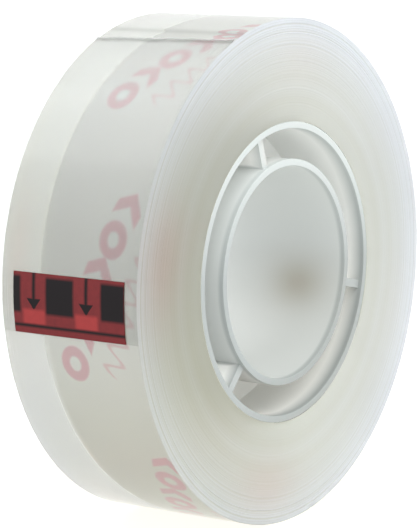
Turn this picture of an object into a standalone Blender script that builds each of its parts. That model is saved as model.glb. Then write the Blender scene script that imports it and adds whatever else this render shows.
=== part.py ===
"""A refill roll of clear adhesive tape: film wound on a plastic core, with a tab on the film's end.

The frame: the origin is the centre of the core's bore. +X runs along the bore, -Y is the front of the
tread, where the film's end and its tab lie, and +Z is up. The roll stands on its tread. Angles round the
roll are measured from the back (+Y), over the top (+Z), to the front (-Y). Everything is in metres.
"""

import math

import bpy

MM = 0.001

# Driving dimensions
TAPE_WIDTH = 19.0 * MM
ROLL_RADIUS = 30.25 * MM
CORE_RADIUS = 17.95 * MM
BORE_RADIUS = 12.7 * MM

# Core moulding
CORE_WALL = 0.8 * MM
WEB_THICKNESS = 1.0 * MM
RIB_THICKNESS = 1.0 * MM
RIB_ANGLES = (228, 108, 348)
RIB_RECESS = 0.5 * MM
RIM_ROUNDING = 0.3 * MM

# Wound layers. The film and the band are thicker than the real ones, and a small gap parts each from
# what it lies on, so that every one is a sound solid of its own.
FILM_THICKNESS = 0.25 * MM
BAND_THICKNESS = 0.25 * MM
LAYER_GAP = 0.1 * MM
LAYER_PITCH = FILM_THICKNESS + LAYER_GAP
WINDINGS_BORE = CORE_RADIUS + LAYER_GAP + BAND_THICKNESS + LAYER_GAP

# Free end of the film: it hinges at the crease, and ends flush with the tab's lower edge
CREASE_ANGLE = 112.5
CREASE_CLEARANCE = 0.25 * MM
FILM_ROOT_ANGLE = CREASE_ANGLE + math.degrees(CREASE_CLEARANCE / ROLL_RADIUS)
FILM_END_ANGLE = 188.5

# Starter tab
TAB_WIDTH = 15.6 * MM
TAB_HEIGHT = 7.0 * MM
TAB_THICKNESS = 0.2 * MM
TAB_TOP_ANGLE = FILM_END_ANGLE - math.degrees(TAB_HEIGHT / ROLL_RADIUS)

# Facets: the turned pieces have this many sides, and the wound outlines one point for each step. Counted
# from the crease, the middle of a facet of the windings comes to the bottom, where the roll stands.
SIDES = 72
STEP_ANGLE = 360 / SIDES
MERGE = 1e-6


def empty_scene():
    """Removes every object that the new file starts with."""
    for obj in list(bpy.data.objects):
        bpy.data.objects.remove(obj, do_unlink=True)


def new_collection(name):
    collection = bpy.data.collections.new(name)
    bpy.context.scene.collection.children.link(collection)
    return collection


def plastic(name, colour, roughness, transmission=0.0):
    """A Principled material for one piece."""
    material = bpy.data.materials.new(name)
    material.use_nodes = True
    shader = material.node_tree.nodes["Principled BSDF"]
    shader.inputs["Base Color"].default_value = (*colour, 1)
    shader.inputs["Roughness"].default_value = roughness
    shader.inputs["Metallic"].default_value = 0
    shader.inputs["Transmission Weight"].default_value = transmission
    material.diffuse_color = (*colour, 1)
    return material


def place(obj, parent, collection, material):
    """Links a piece into its collection, on its parent's axes, with its material."""
    collection.objects.link(obj)
    obj.parent = parent
    obj.data.materials.append(material)
    return obj


def axis_empty(name, collection, location):
    """An empty whose local Z lies along the roll's axis (+X), local X along +Y and local Y along +Z."""
    empty = bpy.data.objects.new(name, None)
    empty.rotation_euler = (math.pi / 2, 0, math.pi / 2)
    empty.location = location
    collection.objects.link(empty)
    return empty


def on_circle(radius, angle):
    """A point across the roll, as its two coordinates square to the axis."""
    turn = math.radians(angle)
    return radius * math.cos(turn), radius * math.sin(turn)


def turned(name, profile, parent, collection, material):
    """A full turn of a closed profile of (radius, height) points round the parent's local Z."""
    mesh = bpy.data.meshes.new(name)
    points = [(radius, 0, height) for radius, height in profile]
    count = len(points)
    mesh.from_pydata(points, [(i, (i + 1) % count) for i in range(count)], [])
    obj = place(bpy.data.objects.new(name, mesh), parent, collection, material)
    screw = obj.modifiers.new("turn", "SCREW")
    screw.axis = "Z"
    screw.steps = SIDES
    screw.render_steps = SIDES
    screw.use_merge_vertices = True
    screw.merge_threshold = MERGE
    screw.use_smooth_shade = True
    return obj


def extruded(name, loops, width, parent, collection, material, offset=(0, 0)):
    """A flat outline of one or more closed loops, as wide as the tape, centred on the roll's middle."""
    curve = bpy.data.curves.new(name, "CURVE")
    curve.dimensions = "2D"
    curve.fill_mode = "BOTH"
    curve.extrude = width / 2
    for loop in loops:
        spline = curve.splines.new("POLY")
        spline.points.add(len(loop) - 1)
        for point, (x, y) in zip(spline.points, loop):
            point.co = (x - offset[0], y - offset[1], 0, 1)
        spline.use_cyclic_u = True
        spline.use_smooth = False
    return place(bpy.data.objects.new(name, curve), parent, collection, material)


def pack_radius(angle):
    """The wound pack's outer radius, which grows by one layer from the crease round to the crease."""
    return ROLL_RADIUS - LAYER_PITCH * (1 - (angle - CREASE_ANGLE) / 360)


def spiral(first, last, lift):
    """Points along the pack's surface from one angle to another, raised by lift."""
    steps = max(1, round((last - first) / STEP_ANGLE))
    angles = [first + (last - first) * i / steps for i in range(steps + 1)]
    return [on_circle(pack_radius(angle) + lift, angle) for angle in angles]


def make_core(parent, collection, cutters):
    """The moulded core: outer ring, hub ring and web in one turned section, with ribs between the rings."""
    half = TAPE_WIDTH / 2
    ring_inner = CORE_RADIUS - CORE_WALL
    hub_outer = BORE_RADIUS + CORE_WALL
    web = WEB_THICKNESS / 2
    section = [
        (CORE_RADIUS, half),
        (CORE_RADIUS, -half),
        (ring_inner, -half),
        (ring_inner, -web),
        (hub_outer, -web),
        (hub_outer, -half),
        (BORE_RADIUS, -half),
        (BORE_RADIUS, half),
        (hub_outer, half),
        (hub_outer, web),
        (ring_inner, web),
        (ring_inner, half),
    ]
    milky = plastic("milky_core", (0.80, 0.82, 0.79), 0.35, 0.3)
    core = turned("core", section, parent, collection, milky)
    middle = (ring_inner + hub_outer) / 2
    length = ring_inner - hub_outer + CORE_WALL
    for number, angle in enumerate(RIB_ANGLES, 1):
        bpy.ops.mesh.primitive_cube_add(size=1, scale=(length, RIB_THICKNESS, TAPE_WIDTH - 2 * RIB_RECESS))
        rib = bpy.context.object
        rib.name = f"rib_{number}"
        bpy.ops.object.transform_apply(location=False, rotation=False, scale=True)
        for holder in list(rib.users_collection):
            holder.objects.unlink(rib)
        cutters.objects.link(rib)
        rib.parent = parent
        rib.location = (*on_circle(middle, angle), 0)
        rib.rotation_euler = (0, 0, math.radians(angle))
        rib.hide_render = True
        rib.display_type = "WIRE"
        join = core.modifiers.new(f"join_{rib.name}", "BOOLEAN")
        join.operation = "UNION"
        join.solver = "EXACT"
        join.object = rib
    rounding = core.modifiers.new("rim_rounding", "BEVEL")
    rounding.width = RIM_ROUNDING
    rounding.segments = 2
    rounding.limit_method = "ANGLE"
    rounding.angle_limit = math.radians(40)
    return core


def make_core_band(parent, collection):
    """The printed band wound once round the core, under the film."""
    inner = CORE_RADIUS + LAYER_GAP
    outer = inner + BAND_THICKNESS
    half = TAPE_WIDTH / 2
    section = [(outer, half), (outer, -half), (inner, -half), (inner, half)]
    printed = plastic("printed_band", (0.78, 0.62, 0.60), 0.5)
    return turned("core_band", section, parent, collection, printed)


def make_tape_windings(parent, collection):
    """The wound film as one pack: a spiral outside with a step of one layer at the crease."""
    outside = spiral(CREASE_ANGLE, CREASE_ANGLE + 360, 0)
    hole = [on_circle(WINDINGS_BORE, i * STEP_ANGLE) for i in range(SIDES)]
    clear = plastic("clear_film", (0.86, 0.87, 0.82), 0.12, 0.6)
    return extruded("tape_windings", [outside, hole], TAPE_WIDTH, parent, collection, clear)


def make_tape_end(parent, collection, root):
    """The film's free end, one layer above the pack from the crease down to the tab's lower edge."""
    inner = spiral(FILM_ROOT_ANGLE, FILM_END_ANGLE, LAYER_GAP)
    outer = spiral(FILM_ROOT_ANGLE, FILM_END_ANGLE, LAYER_PITCH)
    film = plastic("clear_film_end", (0.88, 0.89, 0.85), 0.1, 0.6)
    outline = inner + outer[::-1]
    return extruded("tape_end", [outline], TAPE_WIDTH, parent, collection, film, offset=root)


def make_starter_tab(parent, collection, root):
    """The printed tab on the outside of the film's end."""
    under = LAYER_PITCH + LAYER_GAP
    inner = spiral(TAB_TOP_ANGLE, FILM_END_ANGLE, under)
    outer = spiral(TAB_TOP_ANGLE, FILM_END_ANGLE, under + TAB_THICKNESS)
    red = plastic("red_check_tab", (0.35, 0.05, 0.05), 0.35)
    outline = inner + outer[::-1]
    return extruded("starter_tab", [outline], TAB_WIDTH, parent, collection, red, offset=root)


empty_scene()
roll = new_collection("adhesive_tape_roll")
cutters = new_collection("cutters")
roll_axis = axis_empty("roll_axis", roll, (0, 0, 0))
hinge_point = on_circle(pack_radius(FILM_ROOT_ANGLE) + LAYER_GAP + FILM_THICKNESS / 2, FILM_ROOT_ANGLE)
peel_axis = axis_empty("peel_axis", roll, (0, *hinge_point))
make_core(roll_axis, roll, cutters)
make_core_band(roll_axis, roll)
make_tape_windings(roll_axis, roll)
make_tape_end(peel_axis, roll, hinge_point)
make_starter_tab(peel_axis, roll, hinge_point)
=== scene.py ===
import math
import random

import bmesh
import bpy
from mathutils import Matrix, Vector


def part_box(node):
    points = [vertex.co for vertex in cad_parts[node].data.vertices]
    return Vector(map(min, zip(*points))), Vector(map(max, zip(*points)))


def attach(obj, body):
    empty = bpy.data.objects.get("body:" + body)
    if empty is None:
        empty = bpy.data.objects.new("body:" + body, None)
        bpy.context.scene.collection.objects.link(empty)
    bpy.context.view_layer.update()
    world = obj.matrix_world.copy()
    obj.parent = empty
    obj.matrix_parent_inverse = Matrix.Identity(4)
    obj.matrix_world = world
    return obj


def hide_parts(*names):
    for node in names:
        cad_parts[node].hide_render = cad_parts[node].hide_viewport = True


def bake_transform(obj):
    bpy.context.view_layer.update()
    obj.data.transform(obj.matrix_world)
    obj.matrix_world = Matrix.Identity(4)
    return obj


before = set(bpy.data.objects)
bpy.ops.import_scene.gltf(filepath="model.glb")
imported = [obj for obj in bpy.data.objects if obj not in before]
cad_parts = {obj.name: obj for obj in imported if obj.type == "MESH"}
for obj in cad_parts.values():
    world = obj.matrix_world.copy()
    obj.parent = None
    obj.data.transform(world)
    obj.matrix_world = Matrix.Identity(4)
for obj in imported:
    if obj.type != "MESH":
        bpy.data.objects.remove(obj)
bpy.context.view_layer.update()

# ---------------------------------------------------------------------------------------------------
# Core: one injection moulding in milky plastic. A thin outer ring carries the film and a hub ring
# holds the bore, with a web at mid-width and three ribs between the two. The rims and the bore are greyed
# by painted shade, the channel between them is painted white against its recess shade, and the bore has a
# soft spot of painted shade on its far wall.
# ---------------------------------------------------------------------------------------------------
MM = 0.001
collection = bpy.context.scene.collection
core_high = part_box("core")[1]
core_radius = core_high.z
half_width = core_high.x
bore_radius = 12.7 * MM
core_wall = 0.8 * MM
web_half = 0.5 * MM
rim_round = 0.06 * MM
rib_angles = (228, 108, 348)
rib_thickness = 1.0 * MM
rib_recess = 0.5 * MM
rib_root = 0.6 * core_wall
turn_steps = 240
hub_edge = bore_radius + 1.2 * core_wall
hub_fade = bore_radius + 1.6 * core_wall
end_depth = 2.0 * MM
milky = (0.68, 0.69, 0.66)
channel_painted_light = (0.95, 0.955, 0.93)
rim_painted_shade_low = (0.51, 0.53, 0.52)
rim_painted_shade_high = (0.64, 0.665, 0.65)
shaded_tint = (0.88, 0.87, 0.85)
shaded_angle = -57
blush_tint = (1.0, 0.86, 0.78)
blush_spots = ((99.5, 6), (-112, 11))
bore_shade_brown = (0.32, 0.30, 0.25)
bore_shade_x, bore_shade_z = 2.9 * MM, -3.4 * MM
bore_shade_width, bore_shade_height = 3.4 * MM, 2.6 * MM
bore_shade_share, shade_halo_share = 0.6, 0.3


def new_piece(name, shape):
    """Links a finished bmesh as an object at the origin, with smooth faces and sharp corners kept."""
    mesh = bpy.data.meshes.new(name)
    shape.to_mesh(mesh)
    shape.free()
    mesh.shade_smooth()
    mesh.set_sharp_from_angle(angle=math.radians(38))
    piece = bpy.data.objects.new(name, mesh)
    collection.objects.link(piece)
    return piece


def section_outline(points, rounding):
    """A closed outline of (radius, x) points in the plane y = 0, its corners rounded."""
    shape = bmesh.new()
    shape.faces.new([shape.verts.new((x, 0, radius)) for radius, x in points])
    if rounding:
        bmesh.ops.bevel(shape, geom=list(shape.verts), offset=rounding, offset_type="OFFSET", segments=4,
                        profile=0.5, affect="VERTICES", clamp_overlap=True, material=-1)
    bmesh.ops.delete(shape, geom=list(shape.faces), context="FACES_ONLY")
    return shape


def turned_ring(points, rounding, steps):
    """Spins a rounded outline a full turn round the X axis."""
    shape = section_outline(points, rounding)
    bmesh.ops.spin(shape, geom=list(shape.verts) + list(shape.edges), cent=(0, 0, 0), axis=(1, 0, 0),
                   angle=2 * math.pi, steps=steps, use_merge=True, use_duplicate=False)
    bmesh.ops.remove_doubles(shape, verts=list(shape.verts), dist=1e-7)
    bmesh.ops.recalc_face_normals(shape, faces=list(shape.faces))
    return shape


def new_material(name, colour, roughness):
    """A node material with its Principled shader, and the tree to add its detail to."""
    material = bpy.data.materials.new(name)
    material.use_nodes = True
    shader = material.node_tree.nodes["Principled BSDF"]
    shader.inputs["Base Color"].default_value = (*colour, 1)
    shader.inputs["Roughness"].default_value = roughness
    return material, material.node_tree, shader


def math_node(tree, operation, *values):
    """A Math node on sockets or plain numbers, and its result."""
    node = tree.nodes.new("ShaderNodeMath")
    node.operation = operation
    for socket, value in zip(node.inputs, values):
        if isinstance(value, (int, float)):
            socket.default_value = value
        else:
            tree.links.new(value, socket)
    return node.outputs[0]


def combine(tree, operation, values):
    """The same operation over a whole list of values."""
    result = values[0]
    for value in values[1:]:
        result = math_node(tree, operation, result, value)
    return result


def object_axes(tree):
    """The X, Y and Z of a point on the piece, in metres."""
    where = tree.nodes.new("ShaderNodeTexCoord")
    axes = tree.nodes.new("ShaderNodeSeparateXYZ")
    tree.links.new(where.outputs["Object"], axes.inputs[0])
    return axes.outputs["X"], axes.outputs["Y"], axes.outputs["Z"]


def reach_from_axis(tree, y, z):
    """The distance from the roll's axis, in metres."""
    squares = [math_node(tree, "MULTIPLY", value, value) for value in (y, z)]
    return math_node(tree, "SQRT", combine(tree, "ADD", squares))


def turn_round_axis(tree, y, z):
    """The angle round the roll's axis in degrees, from the back over the top."""
    return math_node(tree, "DEGREES", math_node(tree, "ARCTAN2", z, y))


def facing(tree, turn, angle):
    """1 at one angle round the roll, 0 a quarter turn from it and -1 opposite it."""
    return math_node(tree, "COSINE", math_node(tree, "RADIANS", math_node(tree, "SUBTRACT", turn, angle)))


def offset_from(tree, value, middle, size):
    """How many sizes a value lies from the middle."""
    return math_node(tree, "DIVIDE", math_node(tree, "SUBTRACT", value, middle), size)


def soft_spot(tree, *offsets, steepness=1):
    """1 where every offset is 0, and less the further away it is."""
    squares = [math_node(tree, "MULTIPLY", offset, offset) for offset in offsets]
    total = combine(tree, "ADD", squares)
    return math_node(tree, "EXPONENT", math_node(tree, "MULTIPLY", total, -steepness))


def graded(tree, value, start, end, first=0, last=1, smooth=False):
    """Goes from first to last as a value goes from start to end, and stays level beyond them."""
    node = tree.nodes.new("ShaderNodeMapRange")
    if smooth:
        node.interpolation_type = "SMOOTHSTEP"
    node.inputs["From Min"].default_value = start
    node.inputs["From Max"].default_value = end
    node.inputs["To Min"].default_value = first
    node.inputs["To Max"].default_value = last
    tree.links.new(value, node.inputs["Value"])
    return node.outputs["Result"]


def colour_mix(tree, share, first, second, blend="MIX", clamp=True):
    """Two colours mixed by a share. Each is three numbers or another node's colour."""
    node = tree.nodes.new("ShaderNodeMix")
    node.data_type = "RGBA"
    node.blend_type = blend
    node.clamp_factor = clamp
    tree.links.new(share, node.inputs[0])
    for socket, colour in ((node.inputs[6], first), (node.inputs[7], second)):
        if isinstance(colour, tuple):
            socket.default_value = (*colour, 1)
        else:
            tree.links.new(colour, socket)
    return node.outputs[2]


core_section = [
    (core_radius, half_width), (core_radius, -half_width),
    (core_radius - core_wall, -half_width), (core_radius - core_wall, -web_half),
    (bore_radius + core_wall, -web_half), (bore_radius + core_wall, -half_width),
    (bore_radius, -half_width), (bore_radius, half_width),
    (bore_radius + core_wall, half_width), (bore_radius + core_wall, web_half),
    (core_radius - core_wall, web_half), (core_radius - core_wall, half_width),
]
core_shape = turned_ring(core_section, rim_round, turn_steps)
rib_inner = bore_radius + rib_root
rib_outer = core_radius - rib_root
rib_size = (2 * half_width - 2 * rib_recess, rib_outer - rib_inner, rib_thickness)
for angle in rib_angles:
    rib = bmesh.ops.create_cube(core_shape, size=1)["verts"]
    bmesh.ops.scale(core_shape, vec=rib_size, verts=rib)
    bmesh.ops.translate(core_shape, vec=(0, (rib_inner + rib_outer) / 2, 0), verts=rib)
    about_axis = Matrix.Rotation(math.radians(angle), 3, "X")
    bmesh.ops.rotate(core_shape, cent=(0, 0, 0), matrix=about_axis, verts=rib)
core = new_piece("core_moulding", core_shape)

milky_plastic, tree, shader = new_material("milky_plastic", milky, roughness=0.35)
x, y, z = object_axes(tree)
reach = reach_from_axis(tree, y, z)
turn = turn_round_axis(tree, y, z)
from_middle = math_node(tree, "ABSOLUTE", x)

# Painted shade: grey on the hub ring and near both end faces, a little darker in their lower half, beside a
# channel painted white as painted light against the shade of its recess
on_hub = graded(tree, reach, hub_fade, hub_edge)
near_end = graded(tree, from_middle, half_width - end_depth, half_width - 0.4 * MM, last=1.4)
inside_ring = math_node(tree, "LESS_THAN", reach, core_radius - 0.02 * MM)
near_end = math_node(tree, "MULTIPLY", near_end, inside_ring)
rim_painted_shade = colour_mix(tree, math_node(tree, "DIVIDE", z, bore_radius), rim_painted_shade_low, rim_painted_shade_high)
plastic = colour_mix(tree, math_node(tree, "MAXIMUM", on_hub, near_end), channel_painted_light, rim_painted_shade, clamp=False)
# Painted shade on the core's lower back side
shaded = graded(tree, facing(tree, turn, shaded_angle), start=0.4, end=1)
plastic = colour_mix(tree, shaded, plastic, shaded_tint, "MULTIPLY")

# Painted light: a pink blush where the band's print shows through the outer ring
blush = combine(tree, "ADD", [soft_spot(tree, offset_from(tree, turn, angle, size))
                              for angle, size in blush_spots])
off_hub = math_node(tree, "GREATER_THAN", reach, hub_edge)
sunk = math_node(tree, "LESS_THAN", from_middle, half_width - 0.3 * MM)
in_channel = math_node(tree, "MULTIPLY", off_hub, sunk)
plastic = colour_mix(tree, math_node(tree, "MULTIPLY", blush, in_channel), plastic, blush_tint, "MULTIPLY")

# Painted shade: a soft dark spot on the far wall of the bore, with a wide faint halo
bore_shade_offsets = (offset_from(tree, x, bore_shade_x, bore_shade_width), offset_from(tree, z, bore_shade_z, bore_shade_height))
bore_shade_middle = math_node(tree, "MULTIPLY", soft_spot(tree, *bore_shade_offsets), bore_shade_share)
bore_shade_halo = math_node(tree, "MULTIPLY", soft_spot(tree, *bore_shade_offsets, steepness=0.3), shade_halo_share)
bore_shade = math_node(tree, "ADD", bore_shade_middle, bore_shade_halo)
bore_shade = combine(tree, "MULTIPLY", [bore_shade, math_node(tree, "GREATER_THAN", y, 0), on_hub])
plastic = colour_mix(tree, bore_shade, plastic, bore_shade_brown)
tree.links.new(plastic, shader.inputs["Base Color"])
core.data.materials.append(milky_plastic)
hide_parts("core")
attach(core, "roll")

# ---------------------------------------------------------------------------------------------------
# Core band: a printed film wound once round the core, under the tape. The print is a slanting row of
# plain rings and chevrons with a wavy line beside it, four times round. Lengths in it are millimetres.
# ---------------------------------------------------------------------------------------------------
band_inner = core_radius + 0.01 * MM
band_outer = core_radius + 0.10 * MM
band_end = half_width - 0.55 * MM
band_tone = (0.72, 0.72, 0.67)
ground_top = (0.97, 0.97, 0.94)
ground_shaded_low = (0.80, 0.79, 0.68)
ink_pink = (0.80, 0.23, 0.28)
print_repeats = 4
row_slant = math.radians(25)
row_start_angle = math.radians(212)
row_start_x = -6.4 * MM
marks_in_row = 3
mark_pitch = 7.0
first_ring, ring_radius, ring_line = 2.2, 1.35, 1.1
first_chevron, chevron_reach, chevron_line, chevron_lean = 6.6, 1.9, 1.5, 0.8
wave_length, wave_height, wave_level = 2.4, 1.1, 5.0
wave_middle, wave_half_length, wave_half_line = 13.0, 9.5, 0.16
wave_thinning = 0.45
wave_ink = 0.6
bold_softness, wave_softness = 0.12, 0.1

band_shape = turned_ring([(band_outer, band_end), (band_outer, -band_end),
                          (band_inner, -band_end), (band_inner, band_end)],
                         rounding=0, steps=turn_steps)
band = new_piece("printed_band", band_shape)
printed_film, tree, shader = new_material("printed_band", band_tone, roughness=0.5)
shader.inputs["Transmission Weight"].default_value = 0.7
shader.inputs["IOR"].default_value = 1.0

x, y, z = object_axes(tree)
turn = math_node(tree, "ARCTAN2", z, y)
repeat = 2 * math.pi / print_repeats
cell = math_node(tree, "DIVIDE", math_node(tree, "SUBTRACT", row_start_angle, turn), repeat)
round_way = math_node(tree, "MULTIPLY", math_node(tree, "FRACT", cell), repeat * band_outer / MM)
cross_way = offset_from(tree, x, row_start_x, MM)
along = math_node(tree, "ADD", math_node(tree, "MULTIPLY", round_way, math.cos(row_slant)),
                  math_node(tree, "MULTIPLY", cross_way, math.sin(row_slant)))
across = math_node(tree, "SUBTRACT", math_node(tree, "MULTIPLY", cross_way, math.cos(row_slant)),
                   math_node(tree, "MULTIPLY", round_way, math.sin(row_slant)))


def ring_distance(tree, at):
    """Signed distance to the ink of a ring in the row: negative inside it."""
    dx = math_node(tree, "SUBTRACT", along, at)
    square = math_node(tree, "ADD", math_node(tree, "MULTIPLY", dx, dx),
                       math_node(tree, "MULTIPLY", across, across))
    rim = math_node(tree, "SUBTRACT", math_node(tree, "SQRT", square), ring_radius)
    return math_node(tree, "SUBTRACT", math_node(tree, "ABSOLUTE", rim), ring_line / 2)


def chevron_distance(tree, at):
    """The same for a chevron that points along the row."""
    side = math_node(tree, "ABSOLUTE", across)
    arm = math_node(tree, "ADD", math_node(tree, "SUBTRACT", along, at),
                    math_node(tree, "MULTIPLY", side, chevron_lean))
    arm = math_node(tree, "SUBTRACT", math_node(tree, "ABSOLUTE", arm), chevron_line / 2)
    return math_node(tree, "MAXIMUM", arm, math_node(tree, "SUBTRACT", side, chevron_reach))


def ink_share(tree, distance, softness):
    """From a distance to how much ink lies there, with an edge as soft as softness."""
    return graded(tree, distance, softness, -softness)


marks = []
for number in range(marks_in_row):
    marks.append(ring_distance(tree, first_ring + mark_pitch * number))
    marks.append(chevron_distance(tree, first_chevron + mark_pitch * number))
bold = combine(tree, "MINIMUM", marks)
wave = math_node(tree, "SINE", math_node(tree, "MULTIPLY", along, 2 * math.pi / wave_length))
wave = math_node(tree, "ADD", math_node(tree, "MULTIPLY", wave, wave_height), wave_level)
wave = math_node(tree, "ABSOLUTE", math_node(tree, "SUBTRACT", across, wave))
wave = math_node(tree, "SUBTRACT", math_node(tree, "MULTIPLY", wave, wave_thinning), wave_half_line)
line_end = math_node(tree, "ABSOLUTE", math_node(tree, "SUBTRACT", along, wave_middle))
thin = math_node(tree, "MAXIMUM", wave, math_node(tree, "SUBTRACT", line_end, wave_half_length))
ink = math_node(tree, "MAXIMUM", ink_share(tree, bold, bold_softness),
                math_node(tree, "MULTIPLY", ink_share(tree, thin, wave_softness), wave_ink))

# Painted shade: the clear part of the band turns to a darker cream towards the bottom of the roll
lower = graded(tree, math_node(tree, "DIVIDE", z, band_outer), start=-0.1, end=-1, smooth=True)
ground = colour_mix(tree, lower, ground_top, ground_shaded_low)
tree.links.new(colour_mix(tree, ink, ground, ink_pink), shader.inputs["Base Color"])
band.data.materials.append(printed_film)
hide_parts("core_band")
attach(band, "roll")

# ---------------------------------------------------------------------------------------------------
# Tape windings: clear film wound tight on the core until it is one solid block of layers. The tread
# is glossy and clear. The cut side faces are milky and lie in fine rings, since no layer is quite true.
# ---------------------------------------------------------------------------------------------------
roll_radius = 30.16 * MM
contact_radius = core_radius + 0.015 * MM
edge_round = 0.04 * MM
film_steps = 360
film_ior = 1.5
crease_angle = 112.1
crease_skew = 0.7
second_fold_angle = 107.8
second_fold_width = 1.3
clear_white = (1, 1, 1)
film_tint = (0.63, 0.65, 0.40)
film_density = 8.0
bent_grey = (0.45, 0.46, 0.45)
lanes_per_mm = 1.6
lane_height = 0.12
fold_greyness = 0.5
side_shaded_cream = (0.52, 0.52, 0.44, 1)
side_blue = (0.82, 0.86, 0.95, 1)
cool_angle = 25
left_light_level = 0.15
fine_share, broad_share, cool_share, left_share = 0.8, 0.15, 0.2, 0.9
ghost_tint = (1.0, 0.78, 0.75)
ghost_angle = 126
ghost_radius, ghost_height = 25.5, 3.2
ghost_length = 0.16
ghost_share = 0.33
random.seed(7)


def side_rings(side):
    """Points down one cut face, from the tread to the core. Each is a layer edge that stands in or out."""
    points = []
    radius = roll_radius - edge_round
    while radius > contact_radius + 0.3 * MM:
        share = (radius - contact_radius) / (roll_radius - contact_radius)
        points.append((radius, side * (half_width - random.uniform(0, 0.012 + 0.05 * share ** 3) * MM)))
        radius -= random.uniform(0.25, 0.6) * MM
    return points


windings_section = [(roll_radius, 0.0), (roll_radius, half_width - edge_round)] + side_rings(1)
windings_section += [(contact_radius, half_width), (contact_radius, -half_width)]
windings_section += side_rings(-1)[::-1] + [(roll_radius, -half_width + edge_round)]
windings = new_piece("wound_film", turned_ring(windings_section, rounding=0, steps=film_steps))


def clear_film_material(name, ior):
    """Clear film: smooth glass that takes a little of the light, more of the blue than of the rest."""
    material, tree, shader = new_material(name, clear_white, roughness=0.06)
    shader.inputs["Transmission Weight"].default_value = 1.0
    shader.inputs["IOR"].default_value = ior
    absorb = tree.nodes.new("ShaderNodeVolumeAbsorption")
    absorb.inputs["Color"].default_value = (*film_tint, 1)
    absorb.inputs["Density"].default_value = film_density
    tree.links.new(absorb.outputs[0], tree.nodes["Material Output"].inputs["Volume"])
    return material, tree, shader


def streaks(tree, value, per_mm, detail):
    """Noise from 0 to 1 that varies along one value only, given in metres."""
    noise = tree.nodes.new("ShaderNodeTexNoise")
    noise.noise_dimensions = "1D"
    noise.inputs["Scale"].default_value = per_mm
    noise.inputs["Detail"].default_value = detail
    tree.links.new(math_node(tree, "DIVIDE", value, MM), noise.inputs["W"])
    return noise.outputs[0]


def add_bump(tree, shader, height, distance):
    """Feeds a height in 0 to 1 to the shader as a bump of the given depth."""
    bump = tree.nodes.new("ShaderNodeBump")
    bump.inputs["Distance"].default_value = distance
    bump.inputs["Strength"].default_value = 1.35
    tree.links.new(height, bump.inputs["Height"])
    tree.links.new(bump.outputs[0], shader.inputs["Normal"])


def grey_mark(tree, shader, share, clean):
    """Greys the film where a bend has cost it some clearness. Elsewhere it keeps its clean colour."""
    tree.links.new(colour_mix(tree, share, clean, bent_grey), shader.inputs["Base Color"])


# The tread: faint lanes round the roll, and the soft grey line of an older fold
clear, tree, shader = clear_film_material("clear_film", film_ior)
shader.inputs["Transmission Weight"].default_value = 0.79
x, y, z = object_axes(tree)
lanes = streaks(tree, x, lanes_per_mm, detail=3)
turn = turn_round_axis(tree, y, z)
fold = soft_spot(tree, offset_from(tree, turn, second_fold_angle, second_fold_width))
tread_height = math_node(tree, "ADD", math_node(tree, "MULTIPLY", lanes, lane_height), fold)
add_bump(tree, shader, tread_height, distance=0.02 * MM)
grey_mark(tree, shader, math_node(tree, "MULTIPLY", fold, fold_greyness), clear_white)

# The side faces: fine rings that are whiter near the tread, with painted light that is cool at the back and
# painted shade that is cream at the front. The left face is painted paler than the right one as painted
# light, most of all a little above its middle
side, tree, shader = clear_film_material("cut_side_face", film_ior)
shader.inputs["Roughness"].default_value = 0.9
shader.inputs["Transmission Weight"].default_value = 0.62
x, y, z = object_axes(tree)
reach = reach_from_axis(tree, y, z)
turn = turn_round_axis(tree, y, z)
near_tread = math_node(tree, "POWER", math_node(tree, "DIVIDE", reach, roll_radius), 6)
fine = math_node(tree, "MULTIPLY", streaks(tree, reach, per_mm=4.5, detail=4), near_tread)
broad = streaks(tree, reach, per_mm=0.35, detail=1)
cool = facing(tree, turn, cool_angle)
cool_painted_light = math_node(tree, "MULTIPLY", cool, math_node(tree, "POWER", near_tread, 0.33))
level = math_node(tree, "DIVIDE", z, roll_radius)
off_level = math_node(tree, "ABSOLUTE", math_node(tree, "SUBTRACT", level, left_light_level))
left_light_amount = math_node(tree, "SUBTRACT", 0.95, math_node(tree, "MULTIPLY", off_level, 0.7))
left_face_painted_light = math_node(tree, "MULTIPLY", math_node(tree, "LESS_THAN", x, 0), left_light_amount)
tone_parts = ((fine, fine_share), (broad, broad_share), (cool_painted_light, cool_share), (left_face_painted_light, left_share))
tone = combine(tree, "ADD", [math_node(tree, "MULTIPLY", part, share) for part, share in tone_parts])
ramp = tree.nodes.new("ShaderNodeValToRGB")
ramp.color_ramp.elements[0].position = 0.0
ramp.color_ramp.elements[0].color = side_shaded_cream
ramp.color_ramp.elements[1].position = 0.6
ramp.color_ramp.elements[1].color = side_blue
ramp.color_ramp.elements.new(1.0).color = (1, 1, 1, 1)
tree.links.new(tone, ramp.inputs[0])

# Painted light: a pink ghost of the band's print seen through the side faces, fainter on their cool side
row = math_node(tree, "DIVIDE", math_node(tree, "ADD", turn, 360 + 90 - ghost_angle), 360 / print_repeats)
row = offset_from(tree, math_node(tree, "FRACT", row), middle=0.5, size=ghost_length)
ring = offset_from(tree, math_node(tree, "DIVIDE", reach, MM), ghost_radius, ghost_height)
ghost = math_node(tree, "MULTIPLY", soft_spot(tree, row, ring),
                  math_node(tree, "SUBTRACT", ghost_share, math_node(tree, "MULTIPLY", cool, ghost_share)))
side_colour = colour_mix(tree, ghost, ramp.outputs[0], ghost_tint, "MULTIPLY")
tree.links.new(side_colour, shader.inputs["Base Color"])
add_bump(tree, shader, fine, distance=0.12 * MM)

# Where the film is pressed on the core it reflects nothing
wetted = clear_film_material("core_contact_face", ior=1.0)[0]

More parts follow.
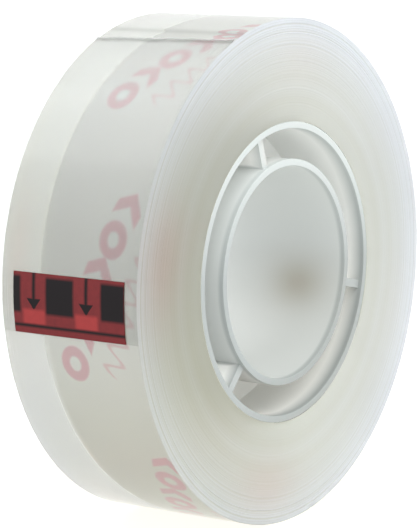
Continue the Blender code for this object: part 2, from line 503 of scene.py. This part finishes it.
tolerance = 0.01 * MM
for material in (clear, side, wetted):
    windings.data.materials.append(material)
for face in windings.data.polygons:
    middle = face.center
    face_reach = math.hypot(middle.y, middle.z)
    if face_reach < contact_radius + tolerance and abs(middle.x) < half_width - tolerance:
        face.material_index = 2
    elif face_reach < roll_radius - tolerance:
        face.material_index = 1
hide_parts("tape_windings")
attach(windings, "roll")

# ---------------------------------------------------------------------------------------------------
# Tape end: the loose end of the same film, which lies on the roll from a fold at the top down to the
# tab. It is bent sharply once at the fold, which leaves a fine uneven ridge across the tape.
# ---------------------------------------------------------------------------------------------------
end_thickness = 0.06 * MM
end_gap = 0.015 * MM
end_angle = 188.5
ridge_offset = 0.5
ridge_width = 0.42
row_crowding = 2.2
loose_ior = 1.27
loose_white = (0.965, 0.97, 0.97)
waver_size = 1.6
bend_greyness = 0.55


def bent_sheet(x_cells, turn_cells, place, thickness):
    """A flat grid whose points place() bends round the roll, made a closed sheet of one thickness."""
    shape = bmesh.new()
    bmesh.ops.create_grid(shape, x_segments=x_cells, y_segments=turn_cells, size=0.5)
    for vert in shape.verts:
        x, angle, radius = place(vert.co.x, vert.co.y + 0.5)
        vert.co = (x, radius * math.cos(math.radians(angle)), radius * math.sin(math.radians(angle)))
    bmesh.ops.recalc_face_normals(shape, faces=list(shape.faces))
    middle = shape.faces[:][len(shape.faces) // 2]
    centre = middle.calc_center_median()
    if middle.normal.dot(Vector((0, centre.y, centre.z))) < 0:
        bmesh.ops.reverse_faces(shape, faces=list(shape.faces))
    sheet = list(shape.verts) + list(shape.edges) + list(shape.faces)
    bmesh.ops.solidify(shape, geom=sheet, thickness=-thickness)
    bmesh.ops.recalc_face_normals(shape, faces=list(shape.faces))
    return shape


def on_film_end(across, along):
    """Where the film end's underside lies: it starts on the skewed fold and ends under the tab."""
    unevenness = 0.10 * math.sin(across * 23) + 0.06 * math.sin(across * 61 + 1)
    root = crease_angle - crease_skew * 2 * across + unevenness
    angle = root + (end_angle - root) * along ** row_crowding
    past = (angle - root - ridge_offset) / ridge_width
    ridge = (0.07 + 0.02 * math.sin(across * 37 + 2)) * MM * math.exp(-past * past)
    return across * 2 * half_width, angle, roll_radius + end_gap + ridge


end_shape = bent_sheet(x_cells=48, turn_cells=150, place=on_film_end, thickness=end_thickness)
film_end = new_piece("film_end", end_shape)
loose, tree, shader = clear_film_material("loose_film", loose_ior)
shader.inputs["Roughness"].default_value = 0.14
x, y, z = object_axes(tree)
add_bump(tree, shader, streaks(tree, x, lanes_per_mm, detail=3), distance=0.006 * MM)

# The grey of the bend follows the skewed fold and wavers about it
skewed = math_node(tree, "MULTIPLY", x, crease_skew / half_width)
past_fold = math_node(tree, "SUBTRACT", turn_round_axis(tree, y, z), crease_angle + 0.8)
waver = math_node(tree, "SUBTRACT", streaks(tree, x, per_mm=0.35, detail=2), 0.5)
bend = combine(tree, "ADD", [skewed, past_fold, math_node(tree, "MULTIPLY", waver, waver_size)])
grey_mark(tree, shader, math_node(tree, "MULTIPLY", soft_spot(tree, bend), bend_greyness), loose_white)
film_end.data.materials.append(loose)
film_end.data.materials.append(side)
for face in film_end.data.polygons:
    if abs(face.normal.x) > 0.9:
        face.material_index = 1
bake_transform(film_end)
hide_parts("tape_end")

# ---------------------------------------------------------------------------------------------------
# Starter tab: a slip of printed paper glued over the end of the film to pull it up by. It is red, with
# a row of dark squares, two arrows that point down to brighter patches, and a line along its lower edge.
# ---------------------------------------------------------------------------------------------------
tab_width = 15.6 * MM
tab_offset = 0.05 * MM
tab_height_angle = math.degrees(7.0 * MM / (30.25 * MM))
tab_low_angle = end_angle + 0.05
tab_thickness = 0.07 * MM
tab_radius = roll_radius + end_gap + end_thickness + 0.012 * MM
tab_tone = (0.2, 0.03, 0.03)
red_deep = (0.105, 0.014, 0.016)
red_bright = (0.26, 0.03, 0.03)
tab_black = (0.006, 0.004, 0.005)


def on_tab(across, along):
    """Where the tab's underside lies, with its corners cut square."""
    return across * tab_width + tab_offset, tab_low_angle - tab_height_angle * along, tab_radius


tab_shape = bent_sheet(x_cells=24, turn_cells=12, place=on_tab, thickness=tab_thickness)
tab = new_piece("paper_tab", tab_shape)
red, tree, shader = new_material("red_tab", tab_tone, roughness=0.55)
shader.inputs["Specular IOR Level"].default_value = 0.15

# Places on the tab: u runs across it and v up it, both from 0 to 1
x, y, z = object_axes(tree)
turn = math_node(tree, "MODULO", math_node(tree, "ADD", turn_round_axis(tree, y, z), 360), 360)
u = math_node(tree, "ADD", math_node(tree, "DIVIDE", x, tab_width), 0.5)
v = math_node(tree, "DIVIDE", math_node(tree, "SUBTRACT", tab_low_angle, turn), tab_height_angle)
square_places = ((0.425, 0.125), (0.90, 0.105), (0.02, 0.05))
arrow_places = (0.19, 0.665)
arrow_foot = 0.40
arrow_slope = 0.36
pad_share, fibre_share = 0.8, 0.3


def inside(tree, value, middle, half, soft):
    """1 within half of the middle and 0 beyond it, over a soft edge."""
    away = math_node(tree, "ABSOLUTE", math_node(tree, "SUBTRACT", value, middle))
    return graded(tree, away, half + soft, half - soft)


squares = combine(tree, "MAXIMUM", [inside(tree, u, at, half, soft=0.012) for at, half in square_places])
squares = math_node(tree, "MULTIPLY", squares, inside(tree, v, middle=0.64, half=0.30, soft=0.03))
shafts = combine(tree, "MAXIMUM", [inside(tree, u, at, half=0.014, soft=0.01) for at in arrow_places])
shafts = math_node(tree, "MULTIPLY", shafts, math_node(tree, "GREATER_THAN", v, 0.42))
low_line = inside(tree, v, middle=0.13, half=0.025, soft=0.02)
from_arrow = combine(tree, "MINIMUM", [math_node(tree, "ABSOLUTE", math_node(tree, "SUBTRACT", u, at))
                                       for at in arrow_places])
head_half = math_node(tree, "MULTIPLY", math_node(tree, "SUBTRACT", v, arrow_foot), arrow_slope)
heads = math_node(tree, "MULTIPLY", inside(tree, v, middle=0.49, half=0.09, soft=0.01),
                  math_node(tree, "LESS_THAN", from_arrow, head_half))
dark = combine(tree, "MAXIMUM", [squares, shafts, low_line, heads])
pads = combine(tree, "MAXIMUM", [inside(tree, u, at, half=0.10, soft=0.015) for at in arrow_places])
pads = math_node(tree, "MULTIPLY", pads, inside(tree, v, middle=0.28, half=0.12, soft=0.03))
bright = math_node(tree, "MULTIPLY", pads, math_node(tree, "SUBTRACT", 1, dark))
paper_fibre = tree.nodes.new("ShaderNodeTexNoise")
paper_fibre.inputs["Scale"].default_value = 1800
where = tree.nodes.new("ShaderNodeTexCoord")
tree.links.new(where.outputs["Object"], paper_fibre.inputs["Vector"])
brightness = math_node(tree, "ADD", math_node(tree, "MULTIPLY", bright, pad_share),
                       math_node(tree, "MULTIPLY", paper_fibre.outputs[0], fibre_share))
tab_red = colour_mix(tree, brightness, red_deep, red_bright)
tree.links.new(colour_mix(tree, dark, tab_red, tab_black), shader.inputs["Base Color"])
tab.data.materials.append(red)
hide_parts("starter_tab")
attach(tab, "film_end")

# ---------------------------------------------------------------------------------------------------
# Floor, lights and camera: a white sheet that glows a little, cream near the roll, and a white room
# that is brighter in front. The overhead lamp is in strips, brightest just in front of the roll.
# ---------------------------------------------------------------------------------------------------
floor_grey = (0.16, 0.16, 0.155)
floor_glow = 0.93
floor_size = 6
floor_gap = 0.01 * MM
floor_shape = bmesh.new()
bmesh.ops.create_grid(floor_shape, x_segments=1, y_segments=1, size=floor_size)
bmesh.ops.translate(floor_shape, vec=(0, 0, -roll_radius - floor_gap), verts=list(floor_shape.verts))
floor = new_piece("floor", floor_shape)
paper, tree, shader = new_material("white_paper", floor_grey, roughness=0.9)
where = tree.nodes.new("ShaderNodeTexCoord")
from_roll = tree.nodes.new("ShaderNodeVectorMath")
from_roll.operation = "LENGTH"
tree.links.new(where.outputs["Object"], from_roll.inputs[0])
warm = tree.nodes.new("ShaderNodeValToRGB")
warm.color_ramp.elements[0].position = 0.02
warm.color_ramp.elements[0].color = (1, 0.98, 0.90, 1)
warm.color_ramp.elements[1].position = 0.08
warm.color_ramp.elements[1].color = (0.98, 0.99, 1.0, 1)
tree.links.new(from_roll.outputs["Value"], warm.inputs[0])
tree.links.new(warm.outputs[0], shader.inputs["Emission Color"])
shader.inputs["Emission Strength"].default_value = floor_glow
floor.data.materials.append(paper)

world = bpy.data.worlds.new("studio")
bpy.context.scene.world = world
world.use_nodes = True
sky = world.node_tree
sky_way = sky.nodes.new("ShaderNodeTexCoord")
sky_axes = sky.nodes.new("ShaderNodeSeparateXYZ")
sky.links.new(sky_way.outputs["Generated"], sky_axes.inputs[0])
room_glow = graded(sky, sky_axes.outputs["Y"], start=0.1, end=0.6, first=1.58, last=1.0, smooth=True)
sky.links.new(room_glow, sky.nodes["Background"].inputs["Strength"])
sky.nodes["Background"].inputs["Color"].default_value = (0.985, 1, 1, 1)


def soft_light(name, place, size, radiance):
    """A rectangular lamp that faces straight down, of even radiance."""
    data = bpy.data.lights.new(name, "AREA")
    data.shape = "RECTANGLE"
    data.size, data.size_y = size
    data.energy = radiance * math.pi * size[0] * size[1]
    data.color = (0.98, 0.99, 1.0)
    lamp = bpy.data.objects.new(name, data)
    lamp.location = place
    collection.objects.link(lamp)


lamp_height = 0.8
strip_edges = (-2.1, -1.5, -1.1, -0.85, -0.66, 0.0, 0.15, 0.30, 0.45, 0.60)
strip_radiances = (0.25, 0.4, 0.6, 0.8, 1.55, 0.95, 0.65, 0.45, 0.3)
for front, rear, radiance in zip(strip_edges, strip_edges[1:], strip_radiances):
    soft_light("overhead_box", (-0.9, (front + rear) / 2, lamp_height), (1.6, rear - front), radiance)
soft_light("right_box", (0.8, 0.1, lamp_height), (1.3, 1.6), radiance=1.2)

azimuth = math.radians(34.64)
elevation = math.radians(8.44)
distance = 0.3207
back = Vector((math.sin(azimuth) * math.cos(elevation), -math.cos(azimuth) * math.cos(elevation),
               math.sin(elevation)))
camera_data = bpy.data.cameras.new("camera")
camera = bpy.data.objects.new("camera", camera_data)
camera.location = back * distance
camera.rotation_euler = (-back).to_track_quat("-Z", "Y").to_euler()
camera_data.lens = 181.06
camera_data.sensor_width = 36
camera_data.shift_x = -0.0236
camera_data.shift_y = 0.0032
collection.objects.link(camera)
bpy.context.scene.camera = camera
bpy.context.scene.view_settings.view_transform = "Standard"
